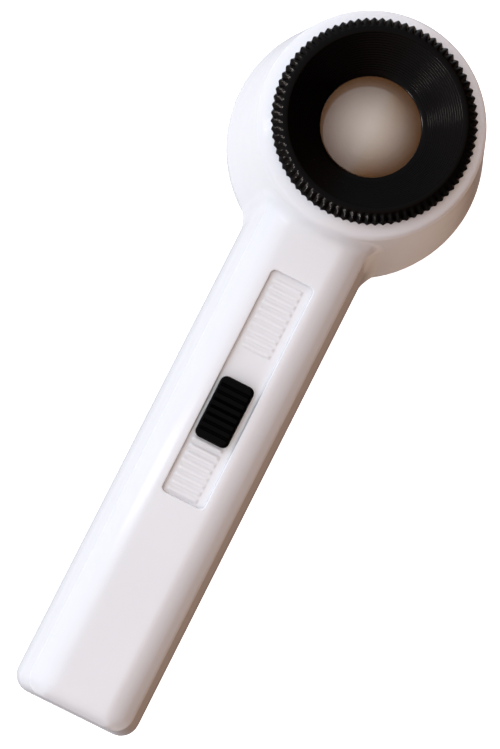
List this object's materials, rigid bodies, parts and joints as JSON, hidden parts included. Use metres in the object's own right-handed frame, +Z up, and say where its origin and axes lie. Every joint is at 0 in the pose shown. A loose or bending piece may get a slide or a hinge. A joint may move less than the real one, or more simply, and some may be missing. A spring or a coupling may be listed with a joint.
{
  "type": "low vision magnifier",
  "caption": "Illuminated hand magnifier: conical stand head with a knurled focusing eyepiece and stepped funnel, straight handle with a slide switch and battery door.",
  "frame": {"origin": "centre of the viewing opening, on the plane that the magnifier stands on", "axes": "+Z up along the optical axis towards the eye, the handle runs towards -Y, +X to the right"},
  "size_m": [0.0634, 0.1852, 0.038],
  "materials": {
    "white_shell": "glossy moulded",
    "black_moulding": "fine moulded texture",
    "lens_clear": "polished",
    "seal_rubber": "smooth",
    "contact_metal": "plated spring steel",
    "screw_steel": "zinc plated",
    "brass_contact": "stamped",
    "board_green": "solder mask",
    "cream_moulding": "moulded",
    "grey_moulding": "moulded",
    "resistor_body": "lacquered",
    "lamp_clear": "cast resin",
    "cell_can": "printed sleeve on a steel can",
    "wire_red": "insulation",
    "wire_black": "insulation",
    "wire_yellow": "insulation"
  },
  "bodies": {
    "housing": {"upper_housing": "white_shell", "base_plate": "white_shell", "switch_body": "grey_moulding", "switch_terminals": "brass_contact", "switch_board": "board_green", "board_screws": "screw_steel", "resistor": "resistor_body", "led": "lamp_clear", "led_holder": "grey_moulding", "battery_holder": "grey_moulding", "battery_left": "cell_can", "battery_right": "cell_can", "positive_plate": "contact_metal", "negative_plate": "contact_metal", "negative_spring": "contact_metal", "bridge_plate": "contact_metal", "bridge_spring": "contact_metal", "red_wire": "wire_red", "black_wire": "wire_black", "lamp_wire": "wire_yellow", "housing_screws": "screw_steel"},
    "focus_slider": {"focus_o_ring": "seal_rubber"},
    "eyepiece": {"focus_ring": "black_moulding", "lens": "lens_clear", "lens_retainer": "black_moulding", "focus_stop_ring": "black_moulding"},
    "switch_slider": {"switch_knob": "black_moulding", "switch_actuator": "cream_moulding", "switch_contact": "brass_contact"},
    "door": {"battery_door": "white_shell"}
  },
  "joints": [
    {"name": "focus_lift", "type": "slide", "parent": "housing", "child": "focus_slider", "axis": [0, 0, 1], "range_m": [0, 0.003]},
    {"name": "focus_turn", "type": "hinge", "parent": "focus_slider", "child": "eyepiece", "pos_m": [0, 0, 0.0298], "axis": [0, 0, 1], "range_deg": [0, 360]},
    {"name": "switch_slide", "type": "slide", "parent": "housing", "child": "switch_slider", "axis": [0, 1, 0], "range_m": [0, 0.005]},
    {"name": "door_slide", "type": "slide", "parent": "housing", "child": "door", "axis": [0, -1, 0], "range_m": [0, 0.062]}
  ],
  "couplings": [
    {"joint": "focus_lift", "follows": "focus_turn", "m_per_rad": 0.000477}
  ]
}
